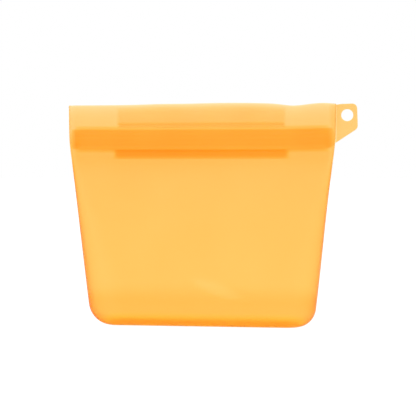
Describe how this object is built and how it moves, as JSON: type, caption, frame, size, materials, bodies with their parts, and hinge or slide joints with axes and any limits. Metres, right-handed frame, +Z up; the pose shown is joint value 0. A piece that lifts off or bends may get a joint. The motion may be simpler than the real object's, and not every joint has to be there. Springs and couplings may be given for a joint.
{
  "type": "reusable silicone bag",
  "caption": "Translucent orange stand-up silicone food bag with an oval base tray, tapering walls, a press-to-close mouth and a side tab with a hanging hole.",
  "frame": {"origin": "centre of the flat base the bag stands on", "axes": "+X along the mouth towards the hanging tab, +Y from the front wall to the back wall, +Z up from the base to the mouth"},
  "size_m": [0.2108, 0.048, 0.1605],
  "materials": {
    "silicone_skin": "translucent orange moulded silicone, fine matt texture",
    "silicone_thick": "translucent orange moulded silicone, smooth satin"
  },
  "bodies": {
    "base": {"base_tray": "silicone_skin", "left_side_wall": "silicone_skin", "right_side_wall": "silicone_skin", "left_zip_plug": "silicone_thick", "right_zip_plug": "silicone_thick"},
    "front_wall": {"front_panel": "silicone_skin", "front_zip_ribs": "silicone_thick", "front_stiffener": "silicone_thick", "front_grip": "silicone_skin"},
    "back_wall": {"back_panel": "silicone_skin", "back_zip_rails": "silicone_thick", "back_stiffener": "silicone_thick", "back_grip": "silicone_skin"},
    "tab": {"hang_tab": "silicone_skin"}
  },
  "joints": [
    {"name": "front_wall_swing", "type": "hinge", "parent": "base", "child": "front_wall", "pos_m": [0, -0.02325, 0.01815], "axis": [1, 0, 0], "range_deg": [0, 12], "stiffness_Nm_per_rad": 0.01},
    {"name": "back_wall_swing", "type": "hinge", "parent": "base", "child": "back_wall", "pos_m": [0, 0.02325, 0.01815], "axis": [-1, 0, 0], "range_deg": [0, 12], "stiffness_Nm_per_rad": 0.01},
    {"name": "tab_flex", "type": "hinge", "parent": "base", "child": "tab", "pos_m": [0.099, 0, 0.1475], "axis": [0, 0, 1], "range_deg": [-40, 40], "stiffness_Nm_per_rad": 0.005}
  ],
  "couplings": [
    {"joint": "back_wall_swing", "follows": "front_wall_swing", "ratio": 1}
  ]
}
